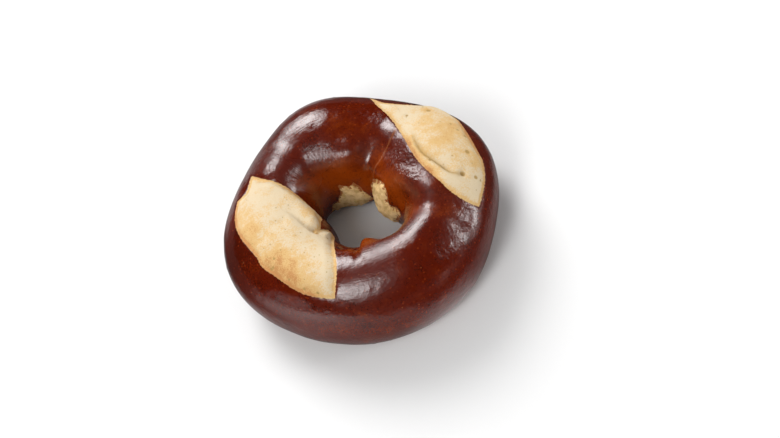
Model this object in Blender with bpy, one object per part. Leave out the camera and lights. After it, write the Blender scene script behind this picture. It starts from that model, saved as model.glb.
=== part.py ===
"""A pretzel bagel: one ring of lye-dipped dough, lying on its flat base.

Run it with: blender --background --python part.py
Metres, +Z up. The origin is the middle of the base, on the surface that the bagel lies on.

A place on the bread is a pair of angles in degrees. The first is ring, anticlockwise from +X seen from
above. The second is tube, round the rope of dough: 0 at its outside, 90 on the crest, 180 at the hole
and 270 under it. Reliefs and distances over the bread are in millimetres.
"""

import bpy
import numpy as np
from mathutils import Vector, noise

MM = 0.001

# Driving sizes
OUTER_DIAMETER = 112 * MM
HOLE_DIAMETER = 30 * MM
HEIGHT = 40 * MM
BASE_SINK = 5 * MM  # how much of the round rope is flattened away at the base
BASE_SOFTNESS = 1.2 * MM

# How far the rope departs from those sizes, in millimetres, at even steps round the ring from ring 0
OUTER_REACH = (1.8, -2.5, -5.2, 3, -2.7, 0.9, 4.8, -0.5, -1.2, -0.5, -0.7, -3.5)
HOLE_REACH = (-7.5, -5.5, -2, -3.5, 7, 2.5, -3, 0.5, 5, 2.5, 10, -4)
CREST_RISE = (1.5, -2, -1.5, 5, -1, -2.5, 1.5, 0, 0, 0, 0, 0)

# The two splits, each a loop of arcs that meet at its corners
LEFT_SPLIT = (
    ((139, 67), (141, 86), (143, 111), (149, 135), (160, 153), (174, 156), (185, 150), (199, 143), (205, 133)),
    ((205, 133), (202, 145), (201, 158), (211, 160), (227, 138), (237, 112), (241, 88), (241, 68), (240, 51)),
    ((240, 51), (225, 53), (209, 60), (199, 61), (193, 65), (185, 65), (176, 62), (164, 58), (153, 57)),
    ((153, 57), (149, 68), (139, 67)),
)
RIGHT_SPLIT = (
    ((60, 45), (52, 56), (44, 54), (36, 46), (27, 32), (16, 32), (7, 38), (-1, 39), (-7, 36), (-13, 30)),
    ((-13, 30), (-23, 28), (-36, 31)),
    (
        (-36, 31), (-37, 47), (-34, 69), (-26, 86), (-13, 97), (0, 100),
        (14, 98), (27, 92), (40, 80), (52, 66), (60, 45),
    ),
)
LIP_RISE = 0.12
LIP_WIDTH = 1.3
GROOVE_DEPTH = 0.6
GROOVE_WIDTH = 0.8
CRUMB_RISE = 1.3
CRUMB_SHOULDER = 4.5

# Creases, each a path with a depth and a width
LEFT_CREASE = ((164, 110), (177, 119), (186, 124), (196, 127), (205, 131))
LEFT_CREASE_DEPTH = 1.7
LEFT_CREASE_WIDTH = 1.5
LEFT_LOBE = ((146, 100), (152, 117), (164, 130), (184, 135), (196, 139))  # the smaller lobe's ridge
LEFT_LOBE_RISE = 1.2
LEFT_LOBE_WIDTH = 3.4
LEFT_DIMPLE = ((187, 80), (184, 91), (184, 104))
LEFT_DIMPLE_DEPTH = 0.7
LEFT_DIMPLE_WIDTH = 2.6
RIGHT_CREASE = ((-25, 61), (-24, 69), (-20, 77), (-14, 85), (-7, 91), (2, 93), (11, 91), (21, 85))
RIGHT_CREASE_DEPTH = 1.9
RIGHT_LOBE_ROUND = 1.7  # the large lobe rounds down into the crease over about this far
RIGHT_STRIP_ROUND = 0.6  # and the narrow strip beside it over this far
NUB_FOLD = ((249, 150), (252, 128), (254, 104), (254, 87))
NUB_FOLD_DEPTH = 1.5
NUB_FOLD_WIDTH = 1.6

# The line where one end of the rope laps over the other
SEAM = ((33, 158), (33, 141), (30, 129), (30, 115), (31, 104), (32, 89))
SEAM_STEP = 1.0
SEAM_OVER_WIDTH = 4.0
SEAM_UNDER_WIDTH = 2.0
SEAM_SHARPNESS = 0.5

# Ridges and hollows along a path, with their rise and width
RIDGES = (
    (((78, 146), (88, 142), (98, 139), (112, 134), (124, 124)), 1.6, 7.0),  # above the hole
    (((28, 84), (27, 98), (27, 112)), -1.6, 8.0),  # where the rope's ends meet
    (((12, 116), (0, 119), (-12, 119), (-25, 108), (-33, 90)), 1.2, 5.5),  # beside the right split
    (((-40, 145), (-46, 116), (-43, 90), (-42, 70), (-45, 45)), -1.8, 5.5),  # the hollow below it
)

# Lumps and dents: place, rise and radius
LUMPS = (
    ((259, 143), 1.8, 4.0),  # the nub that stands into the hole
    ((243, 140), -4.0, 3.8),  # the notch beside it
    ((281, 140), -1.3, 5.0),
    ((34, 143), 1.2, 6.0),
    ((146, 82), -0.7, 6.5),
    ((12, 186), 2.2, 8.0),  # torn flesh bulging into the hole
    ((94, 206), 1.2, 9.0),
    ((-24, 56), -1.1, 1.2),  # the large pore at the end of the right crease
)

# Flesh torn open low on the wall of the hole
BACK_TEAR = (
    ((122, 197), (117, 195), (111, 190), (107, 181), (104, 171), (100, 173), (92, 172), (81, 167)),
    ((81, 167), (77, 171), (71, 177), (64, 186), (61, 197)),
    ((61, 197), (70, 212), (80, 222), (97, 226), (112, 224), (121, 216), (122, 197)),
)
SIDE_TEAR = (
    ((57, 200), (52, 178), (43, 162), (35, 152)),
    ((35, 152), (15, 148), (1, 146), (-10, 148), (-18, 154), (-23, 163)),
    ((-23, 163), (-28, 168), (-34, 163), (-40, 168), (-39, 178), (-28, 194), (-18, 206)),
    ((-18, 206), (10, 216), (40, 214), (57, 200)),
)
TEAR_RISE = 0.9
TEAR_SINK = 0.5
TEAR_ROUGHNESS = 0.7
TEAR_RAGGEDNESS = 1.4
TEAR_GRAIN = 4 * MM  # the size of the lumps in torn flesh
BASE_FADE = 2.5  # the height over which reliefs grow from nothing at the base

# The surface is worked out finely, and then thinned where it is smooth
RING_STEPS = 320
TUBE_STEPS = 128
TRIANGLES = 13600


def around(values, ring):
    """A smooth closed curve (cubic B-spline) through even steps round the ring, read at the angle ring."""
    values = np.asarray(values, float)
    place = np.asarray(ring, float) / 360 * len(values)
    step = np.floor(place).astype(int)
    t = place - step
    weights = (
        (1 - t) ** 3 / 6,
        (3 * t**3 - 6 * t**2 + 4) / 6,
        (-3 * t**3 + 3 * t**2 + 3 * t + 1) / 6,
        t**3 / 6,
    )
    return sum(w * values[(step + k - 1) % len(values)] for k, w in enumerate(weights))


def flattened(height):
    """Heights with everything below the base brought up to it, through a small round."""
    soft = BASE_SOFTNESS
    rounded = (height + soft) ** 2 / (4 * soft)
    return np.where(height < -soft, 0, np.where(height > soft, height, rounded))


def rope_point(ring, tube):
    """The smooth rope's surface, before any relief, as an array of points."""
    outer = OUTER_DIAMETER / 2 + around(OUTER_REACH, ring) * MM
    inner = HOLE_DIAMETER / 2 + around(HOLE_REACH, ring) * MM
    height = HEIGHT + around(CREST_RISE, ring) * MM
    half_height = (height + BASE_SINK) / 2
    radius = (outer + inner) / 2 + (outer - inner) / 2 * np.cos(np.radians(tube))
    level = height - half_height + half_height * np.sin(np.radians(tube))
    return np.stack(
        [
            radius * np.cos(np.radians(ring)),
            radius * np.sin(np.radians(ring)),
            flattened(level),
        ],
        axis=-1,
    )


def rope_normal(ring, tube, step=0.5):
    """The direction straight out of the smooth rope."""
    along = rope_point(ring + step, tube) - rope_point(ring - step, tube)
    across = rope_point(ring, tube + step) - rope_point(ring, tube - step)
    normal = np.cross(along, across)
    return normal / np.linalg.norm(normal, axis=-1, keepdims=True)


def smooth_path(stops, pieces=6):
    """Places along a smooth curve through the stops (Catmull-Rom), both ends included."""
    stops = np.asarray(stops, float)
    first = 2 * stops[:1] - stops[1:2]
    last = 2 * stops[-1:] - stops[-2:-1]
    posts = np.vstack([first, stops, last])
    t = np.linspace(0, 1, pieces, endpoint=False)[:, None]
    stretches = [
        0.5 * (2 * b + (c - a) * t + (2 * a - 5 * b + 4 * c - d) * t**2 + (3 * b - a - 3 * c + d) * t**3)
        for a, b, c, d in zip(posts, posts[1:], posts[2:], posts[3:])
    ]
    return np.vstack(stretches + [stops[-1:]])


def loop_of(arcs):
    """One closed loop of places from arcs that meet at corners."""
    return np.vstack([smooth_path(arc)[:-1] for arc in arcs] + [np.asarray(arcs[0][:1], float)])


def near_ring(ring, middle):
    """Ring angles brought within half a turn of a middle one."""
    return (ring - middle + 180) % 360 - 180 + middle


def distance_to(path, spots):
    """How far each spot is from a path over the bread, and how far along it the nearest place is."""
    line = rope_point(path[:, 0], path[:, 1])
    gap = np.full(len(spots), np.inf)
    along = np.zeros(len(spots))
    for k, (start, end) in enumerate(zip(line, line[1:])):
        reach = end - start
        t = np.clip((spots - start) @ reach / (reach @ reach), 0, 1)
        here = np.linalg.norm(spots - start - t[:, None] * reach, axis=1)
        closer = here < gap
        gap = np.where(closer, here, gap)
        along = np.where(closer, (k + t) / (len(line) - 1), along)
    return gap / MM, along


def is_inside(loop, ring, tube):
    """Which places lie within a closed loop."""
    ring = near_ring(ring, loop[:, 0].mean())
    inside = np.zeros(len(ring), bool)
    for (ring_a, tube_a), (ring_b, tube_b) in zip(loop, loop[1:]):
        if tube_a != tube_b:
            spans = (tube_a > tube) != (tube_b > tube)
            crossing = ring_a + (tube - tube_a) * (ring_b - ring_a) / (tube_b - tube_a)
            inside ^= spans & (ring < crossing)
    return inside


def depth_within(arcs, ring, tube, spots):
    """Distance from the edge of a loop: positive inside it and negative outside."""
    loop = loop_of(arcs)
    gap, _ = distance_to(loop, spots)
    return np.where(is_inside(loop, ring, tube), gap, -gap)


def bell(distance, width):
    return np.exp(-((distance / width) ** 2))


def eased(value, low, high):
    """0 up to low, 1 from high on, and a smooth rise between."""
    t = np.clip((value - low) / (high - low), 0, 1)
    return t * t * (3 - 2 * t)


def split_relief(depth, ring, tube):
    """A curled lip of crust, a groove inside it and the crumb that has swelled up through the cut."""
    strength = 0.6 + 0.4 * np.sin(np.radians(7 * ring)) * np.cos(np.radians(3 * tube))
    lip = LIP_RISE * bell(depth + LIP_WIDTH, LIP_WIDTH)
    groove = GROOVE_DEPTH * bell(depth - GROOVE_WIDTH, GROOVE_WIDTH)
    crumb = CRUMB_RISE * eased(depth, 0, CRUMB_SHOULDER)
    return strength * (lip - groove) + crumb


def left_crumb_relief(spots):
    """The crease between the two lobes of the left split, and the shallow dimple in the larger one."""
    crease_gap, along = distance_to(smooth_path(LEFT_CREASE), spots)
    lobe_gap, _ = distance_to(smooth_path(LEFT_LOBE), spots)
    dimple_gap, _ = distance_to(smooth_path(LEFT_DIMPLE), spots)
    crease = LEFT_CREASE_DEPTH * eased(along, 0, 0.8) * bell(crease_gap, LEFT_CREASE_WIDTH)
    lobe = LEFT_LOBE_RISE * bell(lobe_gap, LEFT_LOBE_WIDTH)
    return lobe - crease - LEFT_DIMPLE_DEPTH * bell(dimple_gap, LEFT_DIMPLE_WIDTH)


def right_crumb_relief(ring, tube, spots):
    """A deep crease: the large lobe rounds down into it, and the narrow strip beside it falls off sharply."""
    path = smooth_path(RIGHT_CREASE)
    gap, along = distance_to(path, spots)
    ends = eased(along, 0, 0.25) * (1 - eased(along, 0.7, 1))
    crease_tube = np.interp(near_ring(ring, 0), path[:, 0], path[:, 1])
    width = np.where(tube > crease_tube, RIGHT_STRIP_ROUND, RIGHT_LOBE_ROUND)
    return -ends * RIGHT_CREASE_DEPTH * np.exp(-gap / width)


def seam_relief(ring, tube, spots):
    """The two ends of the rope: the one before the seam laps over the one after it."""
    path = smooth_path(SEAM)
    gap, along = distance_to(path, spots)
    seam_ring = np.interp(tube, path[::-1, 1], path[::-1, 0])
    before = np.where(near_ring(ring, 0) < seam_ring, gap, -gap)
    ends = eased(along, 0, 0.2) * (1 - eased(along, 0.8, 1))
    fall = np.where(before > 0, np.exp(-gap / SEAM_OVER_WIDTH), np.exp(-gap / SEAM_UNDER_WIDTH))
    return ends * SEAM_STEP / 2 * np.tanh(before / SEAM_SHARPNESS) * fall


def lumpy(spots, grain):
    """Uneven lumps of about the size of grain, between about -1 and 1."""
    return np.array([noise.noise(Vector(spot / grain)) for spot in spots])


def tear_relief(arcs, ring, tube, spots):
    depth = depth_within(arcs, ring, tube, spots)
    rise = np.zeros(len(spots))
    near = depth > -2 * TEAR_RAGGEDNESS
    lumps = lumpy(spots[near], TEAR_GRAIN)
    depth = depth[near] + TEAR_RAGGEDNESS * lumps
    flesh = TEAR_RISE * eased(depth, 0, 3) - TEAR_SINK + TEAR_ROUGHNESS * lumpy(spots[near], TEAR_GRAIN / 2)
    rise[near] = eased(depth, -0.4, 0.8) * flesh
    return rise


def relief(ring, tube, spots):
    """How far the bread stands proud of the smooth rope."""
    left = depth_within(LEFT_SPLIT, ring, tube, spots)
    right = depth_within(RIGHT_SPLIT, ring, tube, spots)
    rise = split_relief(left, ring, tube) + eased(left, 0, 1) * left_crumb_relief(spots)
    rise = rise + split_relief(right, ring, tube) + eased(right, 0, 1) * right_crumb_relief(ring, tube, spots)
    rise = rise + seam_relief(ring, tube, spots)
    fold_gap, along = distance_to(smooth_path(NUB_FOLD), spots)
    rise = rise - NUB_FOLD_DEPTH * (1 - eased(along, 0.3, 1)) * bell(fold_gap, NUB_FOLD_WIDTH)
    for path, height, width in RIDGES:
        gap, _ = distance_to(smooth_path(path), spots)
        rise = rise + height * bell(gap, width)
    for (lump_ring, lump_tube), height, radius in LUMPS:
        gap = np.linalg.norm(spots - rope_point(lump_ring, lump_tube), axis=1) / MM
        rise = rise + height * bell(gap, radius)
    for arcs in (BACK_TEAR, SIDE_TEAR):
        rise = rise + tear_relief(arcs, ring, tube, spots)
    return rise * eased(spots[:, 2] / MM, 0, BASE_FADE)


def bread_points(ring, tube):
    spots = rope_point(ring, tube)
    rise = relief(ring, tube, spots)
    return spots + rope_normal(ring, tube) * rise[:, None] * MM


def crust_material():
    material = bpy.data.materials.new("crust")
    material.use_nodes = True
    shader = material.node_tree.nodes["Principled BSDF"]
    shader.inputs["Base Color"].default_value = (0.09, 0.018, 0.006, 1)
    shader.inputs["Roughness"].default_value = 0.3
    shader.inputs["Metallic"].default_value = 0
    return material


def make_bread(collection):
    """A torus whose points are moved onto the bread's surface and then thinned."""
    middle = (OUTER_DIAMETER + HOLE_DIAMETER) / 4
    bpy.ops.mesh.primitive_torus_add(
        major_segments=RING_STEPS, minor_segments=TUBE_STEPS, major_radius=middle, minor_radius=middle / 2
    )
    bread = bpy.context.object
    bread.name = "bread"
    for home in list(bread.users_collection):
        home.objects.unlink(bread)
    collection.objects.link(bread)

    mesh = bread.data
    flat = np.empty(len(mesh.vertices) * 3, np.float32)
    mesh.vertices.foreach_get("co", flat)
    start = flat.reshape(-1, 3).astype(float)
    ring = np.degrees(np.arctan2(start[:, 1], start[:, 0]))
    tube = np.degrees(np.arctan2(start[:, 2], np.hypot(start[:, 0], start[:, 1]) - middle))
    tube = (tube + 90) % 360 - 90
    points = bread_points(ring, tube)
    points[:, :2] -= (points[:, :2].max(axis=0) + points[:, :2].min(axis=0)) / 2
    mesh.vertices.foreach_set("co", points.astype(np.float32).ravel())
    mesh.update()
    mesh.shade_smooth()
    mesh.materials.append(crust_material())

    thinning = bread.modifiers.new("thinning", "DECIMATE")
    thinning.ratio = TRIANGLES / (2 * RING_STEPS * TUBE_STEPS)
    return bread


def main():
    for item in list(bpy.data.objects):
        bpy.data.objects.remove(item)
    collection = bpy.data.collections.new("pretzel_bagel")
    bpy.context.scene.collection.children.link(collection)
    make_bread(collection)


if __name__ == "__main__":
    main()
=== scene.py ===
"""The looks of a pretzel bagel: its glossy lye crust, its two splits of pale crumb and its torn flesh.

A place on the bread is a pair of angles in degrees. The first is ring, anticlockwise from +X seen from
above. The second is tube, round the rope of dough: 0 at its outside, 90 on the crest, 180 at the hole
and 270 under it. Reliefs and distances over the bread are in millimetres, and the rest is in metres.
"""

from math import cos, pi, radians, sin, tan

import bpy
import numpy as np
from bpy.props import FloatProperty, FloatVectorProperty, IntProperty, PointerProperty
from mathutils import Matrix, Vector, noise


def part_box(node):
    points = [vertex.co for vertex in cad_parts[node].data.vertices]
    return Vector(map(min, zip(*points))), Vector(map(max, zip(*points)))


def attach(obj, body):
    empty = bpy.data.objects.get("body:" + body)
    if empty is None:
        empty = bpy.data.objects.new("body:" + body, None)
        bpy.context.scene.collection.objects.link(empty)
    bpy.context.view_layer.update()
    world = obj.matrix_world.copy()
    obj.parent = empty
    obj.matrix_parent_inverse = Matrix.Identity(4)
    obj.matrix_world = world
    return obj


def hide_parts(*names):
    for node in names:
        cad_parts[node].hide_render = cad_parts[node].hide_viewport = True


bl_info = {
    "name": "Pretzel Bagel",
    "version": (1, 0, 0),
    "blender": (4, 5, 0),
    "location": "3D View > Sidebar > Bagel",
    "description": "Makes a baked pretzel bagel and a pale studio for it",
    "category": "Add Mesh",
}

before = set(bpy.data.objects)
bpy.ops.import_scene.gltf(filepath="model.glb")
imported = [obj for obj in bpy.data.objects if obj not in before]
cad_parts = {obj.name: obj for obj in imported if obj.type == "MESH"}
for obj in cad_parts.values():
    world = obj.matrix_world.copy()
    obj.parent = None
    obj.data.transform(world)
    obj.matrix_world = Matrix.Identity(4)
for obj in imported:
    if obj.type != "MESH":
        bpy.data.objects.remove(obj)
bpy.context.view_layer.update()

MM = 0.001

# ---- The form ----

# How far the rope departs from its even sizes, in millimetres, at even steps round the ring from ring 0
OUTER_REACH = (1.8, -2.5, -5.2, 3, -2.7, 0.9, 4.8, -0.5, -1.2, -0.5, -0.7, -3.5)
HOLE_REACH = (-7.5, -5.5, -2, -3.5, 7, 2.5, -3, 0.5, 5, 2.5, 10, -4)
CREST_RISE = (1.5, -2, -1.5, 5, -1, -2.5, 1.5, 0, 0, 0, 0, 0)

# The two splits, each a loop of arcs that meet at its corners
LEFT_SPLIT = (
    (
        (139, 67), (141, 86), (143, 111), (149, 135), (160, 153),
        (174, 156), (185, 150), (199, 143), (205, 133),
    ),
    (
        (205, 133), (202, 145), (201, 158), (211, 160), (227, 138),
        (237, 112), (241, 88), (241, 68), (240, 51),
    ),
    ((240, 51), (225, 53), (209, 60), (199, 61), (193, 65), (185, 65), (176, 62), (164, 58), (153, 57)),
    ((153, 57), (149, 68), (139, 67)),
)
RIGHT_SPLIT = (
    ((60, 45), (52, 56), (44, 54), (36, 46), (27, 32), (16, 32), (7, 38), (-1, 39), (-7, 36), (-13, 30)),
    ((-13, 30), (-23, 28), (-36, 31)),
    (
        (-36, 31), (-37, 47), (-34, 69), (-26, 86), (-13, 97), (0, 100),
        (14, 98), (27, 92), (40, 80), (52, 66), (60, 45),
    ),
)
LIP_WIDTH = 1.3
LIP_EVENNESS = 0.6  # the share of the lip and the groove that is the same all along the edge
LIP_WAVES = (7, 3)  # how often the rest comes and goes round the ring and round the rope
GROOVE_DEPTH = 0.6
GROOVE_WIDTH = 0.8
CRUMB_SHOULDER = 4.5
CRUMB_EDGE = 1  # the forms within the crumb grow from nothing over this far from its edge
PORE_EDGE = 0.8  # and its pores over this far

# Creases, each a path with a depth and a width
LEFT_CREASE = ((164, 110), (177, 119), (186, 124), (196, 127), (205, 131))
LEFT_CREASE_DEPTH = 1.7
LEFT_CREASE_WIDTH = 1.5
LEFT_CREASE_START = 0.8  # it deepens over this share of its length
LEFT_LOBE = ((146, 100), (152, 117), (164, 130), (184, 135), (196, 139))  # the smaller lobe's ridge
LEFT_LOBE_RISE = 1.2
LEFT_LOBE_WIDTH = 3.4
LEFT_DIMPLE = ((187, 80), (184, 91), (184, 104))
LEFT_DIMPLE_DEPTH = 0.7
LEFT_DIMPLE_WIDTH = 2.6
RIGHT_CREASE = ((-25, 61), (-24, 69), (-20, 77), (-14, 85), (-7, 91), (2, 93), (11, 91), (21, 85))
RIGHT_CREASE_DEPTH = 1.9
RIGHT_CREASE_ENDS = (0.25, 0.7)  # it is deepest between these shares of its length
RIGHT_LOBE_ROUND = 1.7  # the large lobe rounds down into the crease over about this far
RIGHT_STRIP_ROUND = 0.6  # and the narrow strip beside it over this far
# How wide the painted shade along the right crease is
CREASE_SHADE_WIDTH = 0.7
NUB_FOLD = ((249, 150), (252, 128), (254, 104), (254, 87))
NUB_FOLD_DEPTH = 1.5
NUB_FOLD_WIDTH = 1.6
NUB_FOLD_FADE = 0.3  # it fades out from this share of its length

# The line where one end of the rope laps over the other
SEAM = ((33, 158), (33, 141), (30, 129), (30, 115), (31, 104), (32, 89))
SEAM_STEP = 1.0
SEAM_OVER_WIDTH = 4.0
SEAM_UNDER_WIDTH = 2.0
SEAM_SHARPNESS = 0.5
SEAM_ENDS = (0.2, 0.8)  # its step is highest between these shares of its length
SEAM_HIGHLIGHT_WIDTH = 0.5  # how wide the painted highlight along its edge is

# Ridges and hollows along a path, with their rise and width
RIDGES = (
    (((78, 146), (88, 142), (98, 139), (112, 134), (124, 124)), 1.6, 7.0),  # above the hole
    (((28, 84), (27, 98), (27, 112)), -1.6, 8.0),  # where the rope's ends meet
    (((12, 116), (0, 119), (-12, 119), (-25, 108), (-33, 90)), 1.2, 5.5),  # beside the right split
    (((-40, 145), (-46, 116), (-43, 90), (-42, 70), (-45, 45)), -1.8, 5.5),  # the hollow below it
)

# Lumps and dents: place, rise and radius
LUMPS = (
    ((259, 143), 1.8, 4.0),  # the nub that stands into the hole
    ((243, 140), -4.0, 3.8),  # the notch beside it
    ((281, 140), -1.3, 5.0),
    ((34, 143), 1.2, 6.0),
    ((146, 82), -0.7, 6.5),
    ((12, 186), 2.2, 8.0),  # torn flesh bulging into the hole
    ((94, 206), 1.2, 9.0),
    ((-24, 56), -1.1, 1.2),  # the large pore at the end of the right crease
)

# Flesh torn open low on the wall of the hole
BACK_TEAR = (
    ((122, 197), (117, 195), (111, 190), (107, 181), (104, 171), (100, 173), (92, 172), (81, 167)),
    ((81, 167), (77, 171), (71, 177), (64, 186), (61, 197)),
    ((61, 197), (70, 212), (80, 222), (97, 226), (112, 224), (121, 216), (122, 197)),
)
SIDE_TEAR = (
    ((57, 200), (52, 178), (43, 162), (35, 152)),
    ((35, 152), (15, 148), (1, 146), (-10, 148), (-18, 154), (-23, 163)),
    ((-23, 163), (-28, 168), (-34, 163), (-40, 168), (-39, 178), (-28, 194), (-18, 206)),
    ((-18, 206), (10, 216), (40, 214), (57, 200)),
)
TEAR_SINK = 0.5
TEAR_ROUGHNESS = 0.7
TEAR_RAGGEDNESS = 1.4
TEAR_GRAIN = 4 * MM  # the size of the lumps in torn flesh
TEAR_EDGE = (-0.4, 0.8)  # the flesh takes over from the crust between these depths in a tear
TEAR_SHOULDER = 3  # and has its full bulge from this depth on
BASE_FADE = 2.5  # the height over which reliefs grow from nothing at the base
UNDER_FADE = (0.2, 3.5)  # the base's colour gives way to the side's between these heights

# Pores in the crumb: place, radius and depth
PORES = (
    ((203, 75), 0.6, 0.3), ((204, 64), 0.7, 0.4), ((205, 67), 0.6, 0.3), ((216, 63), 0.6, 0.4),
    ((225, 58), 0.7, 0.4), ((232, 56), 0.7, 0.5), ((219, 137), 0.6, 0.5), ((336, 42), 0.9, 0.4),
    ((336, 35), 0.6, 0.6), ((24, 54), 1.0, 0.6), ((29, 51), 0.6, 0.5), ((31, 72), 0.6, 0.6),
    ((8, 53), 0.6, 0.5), ((3, 51), 0.6, 0.5), ((2, 42), 0.5, 0.6), ((359, 46), 0.8, 0.5),
    ((346, 87), 0.7, 0.4), ((349, 50), 1.0, 0.3), ((336, 56), 1.2, 0.5),
)

# Where the crust and the crumb change colour: place, reach and share
# Amber marks thinner crust. The patch at ring 125, tube 144 is painted light on the wall at the back of the
# hole, which lies in shade.
AMBER_AND_PAINTED_LIGHT = (
    ((88, 163), 8, 0.9), ((104, 150), 7, 0.4), ((58, 168), 6, 0.8), ((335, 142), 9, 0.8),
    ((8, 148), 8, 0.5), ((266, 132), 6, 0.9), ((250, 118), 5, 0.6), ((300, 130), 7, 0.5),
    ((75, 104), 10, 0.25), ((137, 130), 5, 0.3), ((40, 125), 6, 0.4), ((116, 170), 7, 0.5),
    ((125, 144), 5, 0.4), ((135, 172), 8, 1.0), ((330, 95), 9, 0.2), ((318, 70), 8, 0.15),
    ((255, 0), 12, 0.3), ((285, 5), 14, 0.1),
)
DARK = (((181, 40), 14, 0.8), ((110, 60), 12, 0.4), ((245, 20), 14, 0.2))
TOAST = (
    ((180, 72), 8, 0.9), ((203, 70), 7, 1.0), ((219, 61), 7, 0.8), ((229, 58), 5, 0.6),
    ((163, 63), 6, 0.6), ((178, 138), 4, 0.8), ((158, 122), 5, 0.4), ((195, 100), 5, 0.3),
    ((346, 46), 6, 0.6), ((5, 50), 8, 0.8), ((23, 56), 6, 0.5), ((356, 73), 6, 0.5),
    ((337, 88), 4, 0.8), ((352, 98), 4, 0.7), ((8, 98), 4, 0.7), ((214, 78), 7, 0.5), ((14, 76), 6, 0.4),
)

# Where the crust is wrinkled, and where it is dull as well: place, reach and share
WRINKLED = (
    ((352, 118), 8, 0.8), ((10, 105), 7, 0.7), ((317, 42), 6, 0.6), ((305, 42), 6, 0.5),
    ((325, 58), 6, 0.6), ((98, 135), 7, 0.5), ((135, 118), 5, 0.6), ((335, 110), 6, 0.8),
    ((134, 84), 6, 0.6), ((24, 102), 5, 0.5),
)
DULL = (
    ((295, 108), 12, 0.6), ((318, 104), 9, 0.6), ((270, 112), 9, 0.6), ((250, 60), 10, 1.0),
    ((266, 66), 9, 1.0), ((120, 76), 12, 0.7), ((100, 130), 9, 0.5), ((130, 124), 7, 0.8),
    ((127, 150), 6, 1.0), ((57, 127), 6, 1.0), ((30, 95), 6, 0.8), ((312, 48), 9, 0.8),
    ((330, 100), 9, 0.6),
)

# Soft swells and hollows in the crust that bend only the light: place, rise and reach
SWELLS = (
    ((2, 91), 3.1, 11), ((22, 88), 2.6, 12), ((320, 91), 0.8, 8), ((134, 102), 3.4, 14),
    ((65, 129), 2.2, 9), ((301, 54), -1.2, 12),
)

# Fine lines in the crust: place, reach and share. Streaks run along the rope, and gathers run across it.
STREAKED = (
    ((124, 66), 8, 0.8), ((108, 80), 10, 1.0), ((92, 84), 8, 0.8), ((320, 60), 10, 0.4),
    ((250, 58), 8, 0.6), ((264, 66), 8, 0.6), ((278, 74), 8, 0.5), ((300, 112), 9, 0.8),
    ((280, 118), 8, 0.8), ((262, 112), 8, 0.6),
)
GATHERED = (
    ((122, 120), 7, 1.0), ((106, 124), 8, 1.0), ((90, 132), 7, 1.0), ((135, 118), 6, 1.0),
    ((75, 142), 6, 0.6), ((5, 112), 8, 0.5), ((345, 108), 8, 0.6),
)

# The fine relief of the crust and the crumb
BARE_EDGE = (-1.5, -0.3)  # the crust's relief fades out between these depths at a split or a tear
WAVE_SIZE = 11 * MM
RIPPLE_SIZE = 4 * MM
RIPPLE_SHARE = 0.4  # how high the ripples are beside the waves
WRINKLE_SIZE = 2.2 * MM
WRINKLE_STRETCH = (1, 1, 0.6)  # wrinkles are longer up and down than along
BLISTERS = 190
BLISTER_RADIUS = (0.45, 0.95)
BLISTER_SHARE = (0.5, 1.0)  # how high each blister is beside the highest
BLISTERED = 0.9  # blisters stand only where the crust's relief has at least this share
SEED = 4
CRUMB_SWELLS = ((5 * MM, 0.14), (1.6 * MM, 0.06))  # each a size and a height
PORE_RIM = 3.0  # how many radii from its middle a pore is still told apart from the crumb round it


def around(values, ring):
    """A smooth closed curve (cubic B-spline) through even steps round the ring, read at the angle ring."""
    values = np.asarray(values, float)
    place = np.asarray(ring, float) / 360 * len(values)
    step = np.floor(place).astype(int)
    t = place - step
    weights = (
        (1 - t) ** 3 / 6,
        (3 * t**3 - 6 * t**2 + 4) / 6,
        (-3 * t**3 + 3 * t**2 + 3 * t + 1) / 6,
        t**3 / 6,
    )
    return sum(w * values[(step + k - 1) % len(values)] for k, w in enumerate(weights))


def smooth_path(stops, pieces=6):
    """Places along a smooth curve that passes through every stop, both ends included."""
    stops = np.asarray(stops, float)
    first = 2 * stops[:1] - stops[1:2]
    last = 2 * stops[-1:] - stops[-2:-1]
    posts = np.vstack([first, stops, last])
    t = np.linspace(0, 1, pieces, endpoint=False)[:, None]
    stretches = [
        0.5 * (2 * b + (c - a) * t + (2 * a - 5 * b + 4 * c - d) * t**2 + (3 * b - a - 3 * c + d) * t**3)
        for a, b, c, d in zip(posts, posts[1:], posts[2:], posts[3:])
    ]
    return np.vstack(stretches + [stops[-1:]])


def loop_of(arcs):
    """One closed loop of places from arcs that meet at corners."""
    return np.vstack([smooth_path(arc)[:-1] for arc in arcs] + [np.asarray(arcs[0][:1], float)])


def near_ring(ring, middle):
    """Ring angles brought within half a turn of a middle one."""
    return (ring - middle + 180) % 360 - 180 + middle


def bell(distance, width):
    """1 at no distance, and a smooth fall to nearly nothing at twice the width."""
    return np.exp(-((distance / width) ** 2))


def eased(value, low, high):
    """0 up to low, 1 from high on, and a smooth rise between."""
    t = np.clip((value - low) / (high - low), 0, 1)
    return t * t * (3 - 2 * t)


def lumpy(spots, grain):
    """Uneven lumps of about the size of grain, between about -1 and 1."""
    return np.array([noise.noise(Vector(spot / grain)) for spot in spots])


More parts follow.
